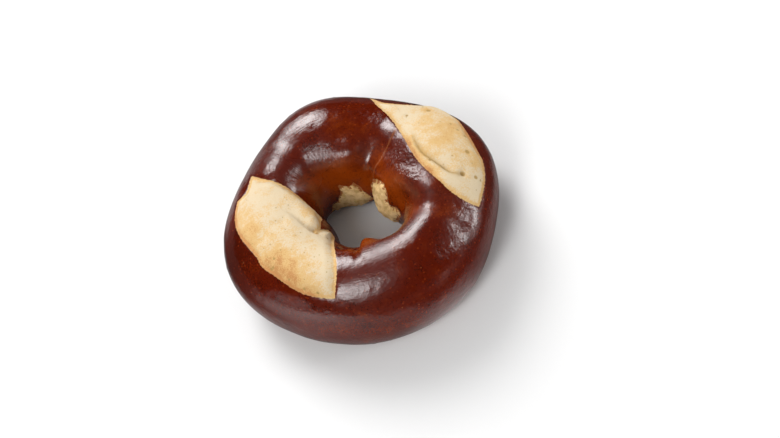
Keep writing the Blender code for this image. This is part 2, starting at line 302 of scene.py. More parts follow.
class Rope:
    """The smooth rope of dough, and distances over it."""

    def __init__(self, sizes):
        self.sizes = sizes

    def flattened(self, height):
        """Heights with everything below the base brought up to it, through a small round."""
        soft = self.sizes.base_softness
        rounded = (height + soft) ** 2 / (4 * soft)
        return np.where(height < -soft, 0, np.where(height > soft, height, rounded))

    def point(self, ring, tube):
        """Where on the smooth rope a pair of angles lies, in metres."""
        outer = self.sizes.outer_diameter / 2 + around(OUTER_REACH, ring) * MM
        inner = self.sizes.hole_diameter / 2 + around(HOLE_REACH, ring) * MM
        height = self.sizes.height + around(CREST_RISE, ring) * MM
        half_height = (height + self.sizes.base_sink) / 2
        radius = (outer + inner) / 2 + (outer - inner) / 2 * np.cos(np.radians(tube))
        level = height - half_height + half_height * np.sin(np.radians(tube))
        x = radius * np.cos(np.radians(ring))
        y = radius * np.sin(np.radians(ring))
        return np.stack([x, y, self.flattened(level)], axis=-1)

    def normal(self, ring, tube, step=0.5):
        """Which way the rope faces there, from places that lie step degrees to each side."""
        along = self.point(ring + step, tube) - self.point(ring - step, tube)
        across = self.point(ring, tube + step) - self.point(ring, tube - step)
        normal = np.cross(along, across)
        return normal / np.linalg.norm(normal, axis=-1, keepdims=True)


class Surface:
    """All the places of the bread's skin at once, with what lies at each."""

    def __init__(self, sizes, ring, tube):
        self.sizes = sizes
        self.rope = Rope(sizes)
        self.ring = ring
        self.tube = tube
        self.spots = self.rope.point(ring, tube)
        self.left = self.depth_within(LEFT_SPLIT)
        self.right = self.depth_within(RIGHT_SPLIT)
        self.crumb = np.maximum(self.left, self.right)
        self.tears = [self.ragged_depth(arcs) for arcs in (BACK_TEAR, SIDE_TEAR)]
        self.torn = np.maximum.reduce(self.tears)
        self.bare = 1 - eased(np.maximum(self.crumb, self.torn), *BARE_EDGE)  # 1 on whole crust
        self.wrinkled = np.clip(self.patches(WRINKLED), 0, 1)

    def distance_to(self, path):
        """How far each spot is from a path over the bread, and how far along it the nearest place is."""
        line = self.rope.point(path[:, 0], path[:, 1])
        gap = np.full(len(self.spots), np.inf)
        along = np.zeros(len(self.spots))
        for k, (start, end) in enumerate(zip(line, line[1:])):
            reach = end - start
            t = np.clip((self.spots - start) @ reach / (reach @ reach), 0, 1)
            here = np.linalg.norm(self.spots - start - t[:, None] * reach, axis=1)
            closer = here < gap
            gap = np.where(closer, here, gap)
            along = np.where(closer, (k + t) / (len(line) - 1), along)
        return gap / MM, along

    def distance_from(self, place):
        """How far each spot is from one place on the bread."""
        return np.linalg.norm(self.spots - self.rope.point(*place), axis=1) / MM

    def is_inside(self, loop):
        """Which places lie within a closed loop."""
        ring = near_ring(self.ring, loop[:, 0].mean())
        inside = np.zeros(len(ring), bool)
        for (ring_a, tube_a), (ring_b, tube_b) in zip(loop, loop[1:]):
            if tube_a != tube_b:
                spans = (tube_a > self.tube) != (tube_b > self.tube)
                crossing = ring_a + (self.tube - tube_a) * (ring_b - ring_a) / (tube_b - tube_a)
                inside ^= spans & (ring < crossing)
        return inside

    def depth_within(self, arcs):
        """Distance from the edge of a loop: positive inside it and negative outside."""
        loop = loop_of(arcs)
        gap, _ = self.distance_to(loop)
        return np.where(self.is_inside(loop), gap, -gap)

    def ragged_depth(self, arcs):
        """The depth within a tear whose edge is frayed."""
        depth = self.depth_within(arcs)
        near = depth > -2 * TEAR_RAGGEDNESS
        depth[near] += TEAR_RAGGEDNESS * lumpy(self.spots[near], TEAR_GRAIN)
        return depth

    def patches(self, marks):
        """The sum of soft round patches, each a place, a reach and a share."""
        return sum(share * bell(self.distance_from(place), reach) for place, reach, share in marks)

    def scattered(self, count, kept, draw):
        """Seeded random places where kept is true, each as its index in the surface."""
        choices = np.flatnonzero(kept)
        return draw.choice(choices, count, replace=False)


def split_relief(surface, depth):
    """A curled lip of crust, a groove inside it and the crumb that has swelled up through the cut."""
    ring_waves, tube_waves = LIP_WAVES
    waves = np.sin(np.radians(ring_waves * surface.ring)) * np.cos(np.radians(tube_waves * surface.tube))
    strength = LIP_EVENNESS + (1 - LIP_EVENNESS) * waves
    lip = surface.sizes.lip_rise / MM * bell(depth + LIP_WIDTH, LIP_WIDTH)
    groove = GROOVE_DEPTH * bell(depth - GROOVE_WIDTH, GROOVE_WIDTH)
    crumb = surface.sizes.crumb_rise / MM * eased(depth, 0, CRUMB_SHOULDER)
    return strength * (lip - groove) + crumb


def left_crumb_relief(surface):
    """The crease between the two lobes of the left split, and the shallow dimple in the larger one."""
    crease_gap, along = surface.distance_to(smooth_path(LEFT_CREASE))
    lobe_gap, _ = surface.distance_to(smooth_path(LEFT_LOBE))
    dimple_gap, _ = surface.distance_to(smooth_path(LEFT_DIMPLE))
    crease = LEFT_CREASE_DEPTH * eased(along, 0, LEFT_CREASE_START) * bell(crease_gap, LEFT_CREASE_WIDTH)
    lobe = LEFT_LOBE_RISE * bell(lobe_gap, LEFT_LOBE_WIDTH)
    return lobe - crease - LEFT_DIMPLE_DEPTH * bell(dimple_gap, LEFT_DIMPLE_WIDTH)


def right_crumb_relief(surface):
    """A deep crease: the large lobe rounds down into it, and the narrow strip beside it drops sharply."""
    path = smooth_path(RIGHT_CREASE)
    gap, along = surface.distance_to(path)
    start, end = RIGHT_CREASE_ENDS
    ends = eased(along, 0, start) * (1 - eased(along, end, 1))
    crease_tube = np.interp(near_ring(surface.ring, 0), path[:, 0], path[:, 1])
    width = np.where(surface.tube > crease_tube, RIGHT_STRIP_ROUND, RIGHT_LOBE_ROUND)
    return -ends * RIGHT_CREASE_DEPTH * np.exp(-gap / width)


def seam_relief(surface):
    """The two ends of the rope: the one before the seam laps over the one after it."""
    path = smooth_path(SEAM)
    gap, along = surface.distance_to(path)
    seam_ring = np.interp(surface.tube, path[::-1, 1], path[::-1, 0])
    before = np.where(near_ring(surface.ring, 0) < seam_ring, gap, -gap)
    start, end = SEAM_ENDS
    ends = eased(along, 0, start) * (1 - eased(along, end, 1))
    fall = np.where(before > 0, np.exp(-gap / SEAM_OVER_WIDTH), np.exp(-gap / SEAM_UNDER_WIDTH))
    return ends * SEAM_STEP / 2 * np.tanh(before / SEAM_SHARPNESS) * fall


def tear_relief(surface):
    """Rough flesh that bulges out of each tear, sunk a little at its edge."""
    rise = np.zeros(len(surface.spots))
    for depth in surface.tears:
        near = depth > TEAR_EDGE[0]
        lumps = TEAR_ROUGHNESS * lumpy(surface.spots[near], TEAR_GRAIN / 2)
        bulge = surface.sizes.tear_rise / MM * eased(depth[near], 0, TEAR_SHOULDER)
        rise[near] += eased(depth[near], *TEAR_EDGE) * (bulge - TEAR_SINK + lumps)
    return rise


def form_relief(surface):
    """The main forms that stand proud of the smooth rope or sink into it."""
    rise = split_relief(surface, surface.left)
    rise = rise + eased(surface.left, 0, CRUMB_EDGE) * left_crumb_relief(surface)
    rise = rise + split_relief(surface, surface.right)
    rise = rise + eased(surface.right, 0, CRUMB_EDGE) * right_crumb_relief(surface)
    rise = rise + seam_relief(surface)
    fold_gap, along = surface.distance_to(smooth_path(NUB_FOLD))
    rise = rise - NUB_FOLD_DEPTH * (1 - eased(along, NUB_FOLD_FADE, 1)) * bell(fold_gap, NUB_FOLD_WIDTH)
    for path, height, width in RIDGES:
        gap, _ = surface.distance_to(smooth_path(path))
        rise = rise + height * bell(gap, width)
    for place, height, radius in LUMPS:
        rise = rise + height * bell(surface.distance_from(place), radius)
    return rise + tear_relief(surface)


def crust_relief(surface, draw):
    """The fine relief of the skin: slow waves, blisters, and wrinkles where the dough was squeezed."""
    sizes = surface.sizes
    waves = lumpy(surface.spots, WAVE_SIZE) + RIPPLE_SHARE * lumpy(surface.spots, RIPPLE_SIZE)
    rise = sizes.skin_waves / MM * waves
    folds = 1 - 2 * np.abs(lumpy(surface.spots * WRINKLE_STRETCH, WRINKLE_SIZE))
    rise = rise + sizes.wrinkle_height / MM * surface.wrinkled * folds
    for index in surface.scattered(BLISTERS, surface.bare > BLISTERED, draw):
        gap = np.linalg.norm(surface.spots - surface.spots[index], axis=1) / MM
        radius = draw.uniform(*BLISTER_RADIUS)
        rise = rise + sizes.blister_height / MM * draw.uniform(*BLISTER_SHARE) * bell(gap, radius)
    return surface.bare * rise


def crumb_relief(surface):
    """Pores in the crumb, and its gently uneven skin. Also says how many radii off the nearest pore is."""
    rise = sum(height * lumpy(surface.spots, size) for size, height in CRUMB_SWELLS)
    nearest = np.full(len(surface.spots), PORE_RIM)
    for place, radius, depth in PORES:
        gap = surface.distance_from(place) / radius
        rise = rise - depth * bell(gap, 1)
        nearest = np.minimum(nearest, gap)
    return eased(surface.crumb, 0, PORE_EDGE) * rise, nearest


def bread_surface(sizes, ring, tube):
    """The skin's points, and what the finish needs to know at each of them."""
    draw = np.random.default_rng(SEED)
    surface = Surface(sizes, ring, tube)
    pores, nearest_pore = crumb_relief(surface)
    rise = form_relief(surface) + crust_relief(surface, draw) + pores
    rise = rise * eased(surface.spots[:, 2] / MM, 0, BASE_FADE)
    points = surface.spots + surface.rope.normal(ring, tube) * rise[:, None] * MM
    seam_gap, _ = surface.distance_to(smooth_path(SEAM))
    crease_gap, along = surface.distance_to(smooth_path(RIGHT_CREASE))
    readings = {
        "crumb": surface.crumb,
        "torn": surface.torn,
        # Amber crust, and in one patch painted light on the shaded wall at the back of the hole
        "amber": surface.patches(AMBER_AND_PAINTED_LIGHT),
        "dark": surface.patches(DARK),
        "toast": surface.patches(TOAST),
        "wrinkled": surface.wrinkled,
        "streaked": surface.patches(STREAKED),
        "gathered": surface.patches(GATHERED),
        "dull": np.clip(surface.wrinkled + surface.patches(DULL), 0, 1),
        "along": ring / 360,
        "across": tube / 360,
        # Drives the painted shade in the pores
        "pore": nearest_pore,
        # A painted highlight along the seam's edge
        "seam": bell(seam_gap, SEAM_HIGHLIGHT_WIDTH),
        # Painted shade along the right crease
        "crease": (1 - eased(along, RIGHT_CREASE_ENDS[1], 1)) * np.exp(-crease_gap / CREASE_SHADE_WIDTH),
        "under": 1 - eased(surface.spots[:, 2] / MM, *UNDER_FADE),
    }
    return points, readings


def fitted(points, low, high):
    """Points stretched by a hair so that they fill the box from low to high."""
    own_low = points.min(axis=0)
    own_high = points.max(axis=0)
    return low + (points - own_low) * (high - low) / (own_high - own_low)


def make_bread(sizes):
    """A torus whose points are moved onto the bread's skin, closest together on its crest."""
    middle = (sizes.outer_diameter + sizes.hole_diameter) / 4
    bpy.ops.mesh.primitive_torus_add(
        major_segments=sizes.ring_steps // 2,
        minor_segments=sizes.tube_steps // 2,
        major_radius=middle,
        minor_radius=middle / 2,
    )
    # A new torus has at most 256 faces each way, so each of its faces is now cut in four
    bpy.ops.object.mode_set(mode="EDIT")
    bpy.ops.mesh.subdivide()
    bpy.ops.object.mode_set(mode="OBJECT")
    bread = bpy.context.object
    bread.name = "pretzel_bread"
    mesh = bread.data
    flat = np.empty(len(mesh.vertices) * 3, np.float32)
    mesh.vertices.foreach_get("co", flat)
    start = flat.reshape(-1, 3).astype(float)
    ring = np.degrees(np.arctan2(start[:, 1], start[:, 0]))
    from_crest = np.degrees(np.arctan2(start[:, 2], np.hypot(start[:, 0], start[:, 1]) - middle)) - 90
    from_crest = (from_crest + 180) % 360 - 180
    tube = 90 + from_crest - np.degrees(sizes.crest_detail * np.sin(np.radians(from_crest)))
    points, readings = bread_surface(sizes, ring, tube)
    low, high = (np.array(corner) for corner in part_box("bread"))
    mesh.vertices.foreach_set("co", fitted(points, low, high).astype(np.float32).ravel())
    for name, values in readings.items():
        mesh.attributes.new(name, "FLOAT", "POINT").data.foreach_set("value", values.astype(np.float32))
    mesh.update()
    mesh.shade_smooth()
    return bread


# ---- The finish ----

NOISE_RANGE = (0.3, 0.7)  # nearly all of a noise's values lie between these

# The sizes of the patterns in the colours, and how strongly some of them show
PATCH_SIZE = 9 * MM
MOTTLE_SIZE = 1.0 * MM
SPECKLE_SIZE = 0.4 * MM
SPECK_SPACING = 1.5 * MM
SPECK_SHARE = 0.45
FLECK_SPACING = 3.4 * MM
FLECK_SHARE = 0.55
# How strongly the painted highlight along the seam shows
SEAM_HIGHLIGHT_SHARE = 0.5
CLOUD_SIZE = 4.5 * MM
CRUMB_SPECKLE_SIZE = 0.5 * MM
TOASTED_EDGE = 2.2  # the crumb is more toasted within this distance of its edge
TOASTED_EDGE_SHARE = 0.8
# How strongly painted shade darkens the pores and the pinholes
PORE_SHADE_SHARE = 0.95
PINHOLE_SPACING = 2.1 * MM
PINHOLE_SHADE_SHARE = 0.7
TORN_CLOUD_SIZE = 3.2 * MM
FRAY_SIZE = 1.2 * MM

# Patterns that only bend the light: each a size and a height
SOFT_WAVES = (2.6 * MM, 0.16 * MM)
SKIN_GRAIN = (0.8 * MM, 0.05 * MM)
FINE_WRINKLES = (1.0 * MM, 0.2 * MM)
PIMPLES = (1.1 * MM, 0.1 * MM)
CRUMB_GRAIN = (1.1 * MM, 0.25 * MM)
CRAGS = (1.3 * MM, 0.7 * MM)
PINHOLE_DEPTH = 0.2 * MM
LINES = (("streaked", 45, 260), ("gathered", 450, 30))  # how many there are round the ring and the rope
LINE_HEIGHT = 0.09 * MM

# Roughness of each kind of skin but the glossy crust, whose own changes in patches
DULL_CRUST = 0.31
MATT_BASE = 0.6
MATT_CRUMB = 0.82
MATT_TORN = 0.9
GLOSS_PATCH_SIZE = 3 * MM

# The crumb's and the torn flesh's looks begin between these depths at their edges, which wander
CRUMB_START = (-0.4, -0.15)
TORN_START = (-0.1, 0.25)
WANDER_SIZE = 0.9 * MM
WANDER = 0.16


class Finish:
    """Adds nodes to one material, lamp or world and hands back their outputs."""

    def __init__(self, owner):
        owner.use_nodes = True
        self.owner = owner
        self.tree = owner.node_tree
        self.shader = next(node for node in self.tree.nodes if node.outputs)
        self.place = self.tree.nodes.new("ShaderNodeTexCoord").outputs["Object"]

    def feed(self, socket, value):
        """Links an input to another node's output, or sets it to a plain value."""
        if isinstance(value, bpy.types.NodeSocket):
            self.tree.links.new(value, socket)
        elif hasattr(value, "__len__") and len(socket.default_value) == 4 and len(value) == 3:
            socket.default_value = (*value, 1)
        else:
            socket.default_value = value

    def node(self, kind, **values):
        made = self.tree.nodes.new("ShaderNode" + kind)
        for name, value in values.items():
            self.feed(made.inputs[name], value)
        return made

    def math(self, operation, *values):
        """One step of arithmetic."""
        made = self.tree.nodes.new("ShaderNodeMath")
        made.operation = operation
        for socket, value in zip(made.inputs, values):
            self.feed(socket, value)
        return made.outputs[0]

    def reading(self, name):
        """What the mesh holds under this name at each of its points."""
        made = self.tree.nodes.new("ShaderNodeAttribute")
        made.attribute_name = name
        return made.outputs["Fac"]

    def gap(self, place, goal):
        """How far one place is from another."""
        made = self.tree.nodes.new("ShaderNodeVectorMath")
        made.operation = "DISTANCE"
        self.feed(made.inputs[0], place)
        self.feed(made.inputs[1], goal)
        return made.outputs["Value"]

    def noise(self, size, detail=2, roughness=0.5, place=None):
        """Noise whose lumps are about size metres across."""
        made = self.node("TexNoise", Scale=1 / size, Detail=detail, Roughness=roughness)
        self.feed(made.inputs["Vector"], place or self.place)
        return made.outputs["Fac"]

    def cells(self, size):
        """Points scattered about size metres apart: the gap to the nearest, in sizes, and its chance."""
        made = self.node("TexVoronoi", Scale=1 / size, Randomness=1.0)
        self.feed(made.inputs["Vector"], self.place)
        return made.outputs["Distance"], made.outputs["Color"]

    def rise(self, value, low, high, start=0.0, end=1.0):
        """A smooth rise from start to end as value goes from low to high."""
        made = self.tree.nodes.new("ShaderNodeMapRange")
        made.interpolation_type = "SMOOTHSTEP"
        for name, number in (("From Min", low), ("From Max", high), ("To Min", start), ("To Max", end)):
            made.inputs[name].default_value = number
        self.feed(made.inputs["Value"], value)
        return made.outputs["Result"]

    def swing(self, value, start, end):
        """The value of a noise stretched so that it runs from start to end."""
        return self.rise(value, *NOISE_RANGE, start, end)

    def mix(self, share, below, above):
        """A colour between two others."""
        made = self.tree.nodes.new("ShaderNodeMix")
        made.data_type = "RGBA"
        self.feed(made.inputs[0], share)
        self.feed(made.inputs[6], below)
        self.feed(made.inputs[7], above)
        return made.outputs[2]

    def between(self, share, below, above):
        """A number between two others."""
        made = self.tree.nodes.new("ShaderNodeMix")
        self.feed(made.inputs[0], share)
        self.feed(made.inputs[2], below)
        self.feed(made.inputs[3], above)
        return made.outputs[0]

    def bump(self, height, depth, share=1.0, onto=None):
        """A normal bent by a height between 0 and 1 that stands for depth metres."""
        made = self.node("Bump", Strength=share, Distance=depth, Height=height)
        if onto is not None:
            self.feed(made.inputs["Normal"], onto)
        return made.outputs["Normal"]

    def grain(self, pattern, share=1.0, onto=None, **kind):
        """A normal bent by a noise, whose pattern is a size and a height."""
        size, height = pattern
        return self.bump(self.noise(size, **kind), height, share, onto)


def crust_colour(finish, look):
    """Mahogany that goes darker or amber in broad patches, mottled, with a few pale flecks and a painted
    highlight along the seam's edge. One amber patch is painted light on the shaded wall at the back of the
    hole.
    """
    broad = finish.noise(PATCH_SIZE, detail=3)
    fine = finish.noise(MOTTLE_SIZE, detail=3, roughness=0.6)
    speckle = finish.noise(SPECKLE_SIZE, detail=2, roughness=0.6)
    # Amber crust, and in one patch painted light on the shaded wall at the back of the hole
    amber = finish.math("ADD", finish.reading("amber"), finish.rise(broad, 0.45, 0.75, -0.06, 0.26))
    amber = finish.math("ADD", amber, finish.rise(fine, 0.35, 0.7, -0.05, 0.08))
    colour = finish.mix(finish.rise(amber, 0.0, 1.0), look.mahogany, look.amber)
    dark = finish.math("ADD", finish.reading("dark"), finish.rise(broad, 0.5, 0.25, -0.1, 0.4))
    dark = finish.math("ADD", dark, finish.rise(fine, 0.6, 0.3, -0.15, 0.3))
    dark = finish.math("ADD", dark, finish.rise(speckle, 0.65, 0.35, -0.2, 0.4))
    colour = finish.mix(finish.rise(dark, 0.0, 1.0), colour, look.dark)
    gap, chance = finish.cells(SPECK_SPACING)
    speck = finish.math("MULTIPLY", finish.rise(gap, 0.34, 0.12), finish.rise(chance, 0.4, 0.8))
    colour = finish.mix(finish.math("MULTIPLY", speck, SPECK_SHARE), colour, look.speck)
    gap, chance = finish.cells(FLECK_SPACING)
    fleck = finish.math("MULTIPLY", finish.rise(gap, 0.10, 0.04), finish.rise(chance, 0.62, 0.64))
    colour = finish.mix(finish.math("MULTIPLY", fleck, FLECK_SHARE), colour, look.fleck)
    # A painted highlight along the seam's edge, in the flecks' colour
    seam = finish.math("MULTIPLY", finish.reading("seam"), SEAM_HIGHLIGHT_SHARE)
    colour = finish.mix(seam, colour, look.fleck)
    return finish.mix(finish.reading("under"), colour, look.under)


def pinholes(finish):
    """1 in the smallest pores of the crumb, which lie scattered, and 0 between them."""
    gap, chance = finish.cells(PINHOLE_SPACING)
    return finish.math("MULTIPLY", finish.rise(gap, 0.16, 0.08), finish.rise(chance, 0.5, 0.55))


def crumb_colour(finish, look, holes):
    """Pale crumb, golden to toasted where the oven caught it, with painted shade in its pores, pinholes and
    crease.
    """
    cloud = finish.noise(CLOUD_SIZE, detail=5, roughness=0.65)
    speckle = finish.noise(CRUMB_SPECKLE_SIZE, detail=2, roughness=0.6)
    edge = finish.rise(finish.reading("crumb"), TOASTED_EDGE, 0.0, 0.0, TOASTED_EDGE_SHARE)
    toast = finish.math("ADD", finish.reading("toast"), edge)
    toast = finish.math("ADD", toast, finish.swing(cloud, -0.3, 0.34))
    toast = finish.math("ADD", toast, finish.swing(speckle, -0.25, 0.3))
    colour = finish.mix(finish.rise(toast, 0.0, 0.8), look.crumb, look.golden)
    colour = finish.mix(finish.rise(toast, 0.75, 1.6), colour, look.toasted)
    # Painted shade in the pores, the pinholes and the right crease
    pore = finish.rise(finish.reading("pore"), 1.2, 0.6, 0.0, PORE_SHADE_SHARE)
    shade = finish.math("MAXIMUM", pore, finish.math("MULTIPLY", holes, PINHOLE_SHADE_SHARE))
    shade = finish.math("MAXIMUM", shade, finish.reading("crease"))
    return finish.mix(shade, colour, look.pore)


def torn_colour(finish, look):
    """Rough khaki flesh, with crust still clinging to its frayed edge."""
    cloud = finish.noise(TORN_CLOUD_SIZE, detail=4, roughness=0.6)
    colour = finish.mix(finish.rise(cloud, 0.35, 0.6), look.torn_shade, look.torn)
    ragged = finish.swing(finish.noise(FRAY_SIZE), -1.2, 0.8)
    fray = finish.math("ADD", finish.reading("torn"), ragged)
    return finish.mix(finish.rise(fray, 1.3, 0.5), colour, look.fringe)


def skin_bump(finish, rope, crumb, torn, holes):
    """Swells and fine wrinkles on the crust, grain and pinholes in the crumb and crags in torn flesh."""
    swell = 0
    for place, rise, reach in SWELLS:
        gap = finish.gap(finish.place, tuple(rope.point(*place)))
        swell = finish.math("ADD", finish.rise(gap, reach * MM, 0, 0, rise), swell)
    normal = finish.bump(swell, MM, finish.math("SUBTRACT", 1, crumb))
    normal = finish.grain(SOFT_WAVES, onto=normal)
    normal = finish.grain(SKIN_GRAIN, onto=normal, detail=4, roughness=0.55)
    for name, round_ring, round_rope in LINES:
        place = finish.node("CombineXYZ")
        finish.feed(place.inputs["X"], finish.math("MULTIPLY", finish.reading("along"), round_ring))
        finish.feed(place.inputs["Y"], finish.math("MULTIPLY", finish.reading("across"), round_rope))
        lines = finish.noise(1, detail=1, place=place.outputs["Vector"])
        normal = finish.bump(lines, LINE_HEIGHT, finish.reading(name), normal)
    normal = finish.grain(FINE_WRINKLES, finish.reading("wrinkled"), normal, roughness=0.6)
    size, height = PIMPLES
    gap, _ = finish.cells(size)
    normal = finish.bump(finish.rise(gap, 0.45, 0.0), height, finish.reading("wrinkled"), normal)
    normal = finish.grain(CRUMB_GRAIN, crumb, normal, detail=3, roughness=0.6)
    normal = finish.bump(holes, -PINHOLE_DEPTH, crumb, normal)
    return finish.grain(CRAGS, torn, normal, detail=5, roughness=0.7)


def bread_finish(look, rope):
    """One material for the whole bread: crust, and over it the crumb, and over that the torn flesh."""
    finish = Finish(bpy.data.materials.new("pretzel_crust_and_crumb"))
    wander = finish.swing(finish.noise(WANDER_SIZE), -WANDER, WANDER)
    crumb = finish.rise(finish.math("ADD", finish.reading("crumb"), wander), *CRUMB_START)
    torn = finish.rise(finish.math("ADD", finish.reading("torn"), wander), *TORN_START)
    holes = pinholes(finish)
    colour = finish.mix(crumb, crust_colour(finish, look), crumb_colour(finish, look, holes))
    colour = finish.mix(torn, colour, torn_colour(finish, look))
    patches = finish.noise(GLOSS_PATCH_SIZE, detail=3)
    rough = finish.swing(patches, look.gloss_roughness, look.satin_roughness)
    rough = finish.between(finish.reading("dull"), rough, DULL_CRUST)
    rough = finish.between(finish.reading("under"), rough, MATT_BASE)
    rough = finish.between(crumb, rough, MATT_CRUMB)
    rough = finish.between(torn, rough, MATT_TORN)
    finish.shader.inputs["IOR"].default_value = look.crust_ior
    finish.feed(finish.shader.inputs["Base Color"], colour)
    finish.feed(finish.shader.inputs["Roughness"], rough)
    finish.feed(finish.shader.inputs["Normal"], skin_bump(finish, rope, crumb, torn, holes))
    return finish.owner


# ---- The stage ----

PICTURE_WIDTH = 780  # the picture that the camera frames, in pixels
PICTURE_HEIGHT = 438
BREAD_AT = (364.5, 215.0)  # where VIEW_TARGET shows in that picture
VIEW_TARGET = (0.00154, -0.00068, 0.018)
VIEW_ELEVATION = 53.0
VIEW_ROLL = 27.0
VIEW_DISTANCE = 0.75
LENS = 86.5  # this and the sensor's width are in millimetres
SENSOR = 36.0

FLOOR_WIDTH = 14.0
FLOOR_DROP = 0.0002  # the floor lies this far under the base
FLOOR_ROUGHNESS = 0.85

# The round parts of the floor that the crust mirrors, each a place and a reach in millimetres
MIRRORED = (((-130, -95), 84), ((-35, -75), 45), ((-40, 112), 62), ((-300, -110), 140), ((0, 0), 74))
MIRROR_SOFTNESS = 12  # each fades this far to both sides of its edge
MIRRORED_GREY = 0.32
UNMIRRORED_GREY = 0.01

# Where the floor glows in reflections alone: place and reach in millimetres, and share
GLARES = (
    ((-150, -90), 115, 0.85), ((240, -75), 140, 1.6), ((77, -135), 40, 0.5), ((18, -58), 30, 0.5),
)

LAMP_DISTANCE = 3.0
LAMP_CORE = 0.2  # how much of a lamp's width is at its full brightness

# Each lamp: name, ring angle and elevation that it shines from, its width and height in degrees
BACK_LAMP = ("back_lamp", 100.0, 40.0, 50.0, 58.0)
LEFT_LAMP = ("left_lamp", -134.0, 46.0, 33.0, 46.0)
RIGHT_LAMP = ("right_lamp", -19.0, 13.0, 22.0, 26.0)
LOW_LAMP = ("low_lamp", -166.0, 1.0, 32.0, 32.0)


def make_floor(look):
    """A floor that is plain to the camera. In the crust's reflections it is darker, apart from a few round
    places where the crust mirrors it, and glows in a few places though it is no lamp: painted reflections.
    """
    bpy.ops.mesh.primitive_grid_add(x_subdivisions=8, y_subdivisions=8, size=FLOOR_WIDTH)
    floor = bpy.context.object
    floor.name = "studio_floor"
    floor.location.z = -FLOOR_DROP
    finish = Finish(bpy.data.materials.new("studio_floor_paint"))
    mirrored = finish.node("LightPath").outputs["Is Glossy Ray"]
    dimmed = mirrored
    for (x, y), reach in MIRRORED:
        gap = finish.gap(finish.place, (x * MM, y * MM, 0))
        edges = (reach - MIRROR_SOFTNESS) * MM, (reach + MIRROR_SOFTNESS) * MM
        dimmed = finish.math("MULTIPLY", dimmed, finish.rise(gap, *edges))
    glare = 0
    for (x, y), reach, strength in GLARES:
        gap = finish.gap(finish.place, (x * MM, y * MM, 0))
        glare = finish.math("ADD", finish.rise(gap, reach * MM, 0, 0, strength * look.glare), glare)
    paint = finish.mix(mirrored, look.floor_colour, (MIRRORED_GREY,) * 3)
    paint = finish.mix(dimmed, paint, (UNMIRRORED_GREY,) * 3)
    finish.feed(finish.shader.inputs["Base Color"], paint)
    finish.feed(finish.shader.inputs["Emission Strength"], finish.math("MULTIPLY", mirrored, glare))
    finish.shader.inputs["Roughness"].default_value = FLOOR_ROUGHNESS
    floor.data.materials.append(finish.owner)


def make_lamp(lamp, brightness):
    """A softbox whose middle has the given radiance, where 1 shows as white. It fades towards its edges."""
    name, azimuth, elevation, width, height = lamp
    toward = Vector(
        (
            cos(radians(azimuth)) * cos(radians(elevation)),
            sin(radians(azimuth)) * cos(radians(elevation)),
            sin(radians(elevation)),
        )
    )
    light = bpy.data.lights.new(name, "AREA")
    light.shape = "RECTANGLE"
    light.size = 2 * LAMP_DISTANCE * tan(radians(width / 2))
    light.size_y = 2 * LAMP_DISTANCE * tan(radians(height / 2))
    light.energy = brightness * pi * light.size * light.size_y
    finish = Finish(light)
    from_middle = finish.gap(finish.node("NewGeometry").outputs["Parametric"], (0.5, 0.5, 0))
    finish.feed(finish.shader.inputs["Strength"], finish.rise(from_middle, 0.5, LAMP_CORE / 2))
    item = bpy.data.objects.new(name, light)
    item.location = toward * LAMP_DISTANCE
    item.rotation_euler = toward.to_track_quat("Z", "Y").to_euler()
    bpy.context.scene.collection.objects.link(item)


def make_world(look):
    """A pale backdrop that fills the shadows and is dark in the bread's reflections."""
    finish = Finish(bpy.data.worlds.new("studio"))
    ray = finish.node("LightPath").outputs
    light = finish.between(ray["Is Glossy Ray"], look.fill, look.gloom)
    light = finish.between(ray["Is Camera Ray"], light, look.backdrop)
    finish.feed(finish.shader.inputs["Strength"], light)
    finish.feed(finish.shader.inputs["Color"], (1, 1, 1))
    bpy.context.scene.world = finish.owner


def make_camera():
    """A camera that looks down on the bread, with the picture rolled to the bread's own lean."""
    back = Vector((0, -cos(radians(VIEW_ELEVATION)), sin(radians(VIEW_ELEVATION))))
    turn = back.to_track_quat("Z", "Y").to_matrix() @ Matrix.Rotation(radians(-VIEW_ROLL), 3, "Z")
    per_pixel = VIEW_DISTANCE * SENSOR / LENS / PICTURE_WIDTH
    right = (BREAD_AT[0] - PICTURE_WIDTH / 2) * per_pixel
    down = (BREAD_AT[1] - PICTURE_HEIGHT / 2) * per_pixel
    lens = bpy.data.cameras.new("camera")
    lens.lens = LENS
    lens.sensor_width = SENSOR
    camera = bpy.data.objects.new("camera", lens)
    camera.rotation_euler = turn.to_euler()
    camera.location = Vector(VIEW_TARGET) + turn @ Vector((-right, down, VIEW_DISTANCE))
    bpy.context.scene.collection.objects.link(camera)
    bpy.context.scene.camera = camera


# ---- What a user can change ----


def length(name, description, default):
    return FloatProperty(
        name=name, description=description, default=default, min=0, unit="LENGTH", precision=5
    )


def colour(name, description, default):
    return FloatVectorProperty(
        name=name, description=description, default=default, subtype="COLOR", size=3, min=0, max=1
    )


def share(name, description, default, top=1):
    return FloatProperty(
        name=name, description=description, default=default, min=0, max=top, subtype="FACTOR"
    )


def steps(name, description, default):
    return IntProperty(name=name, description=description, default=default, min=24, max=512, step=2)


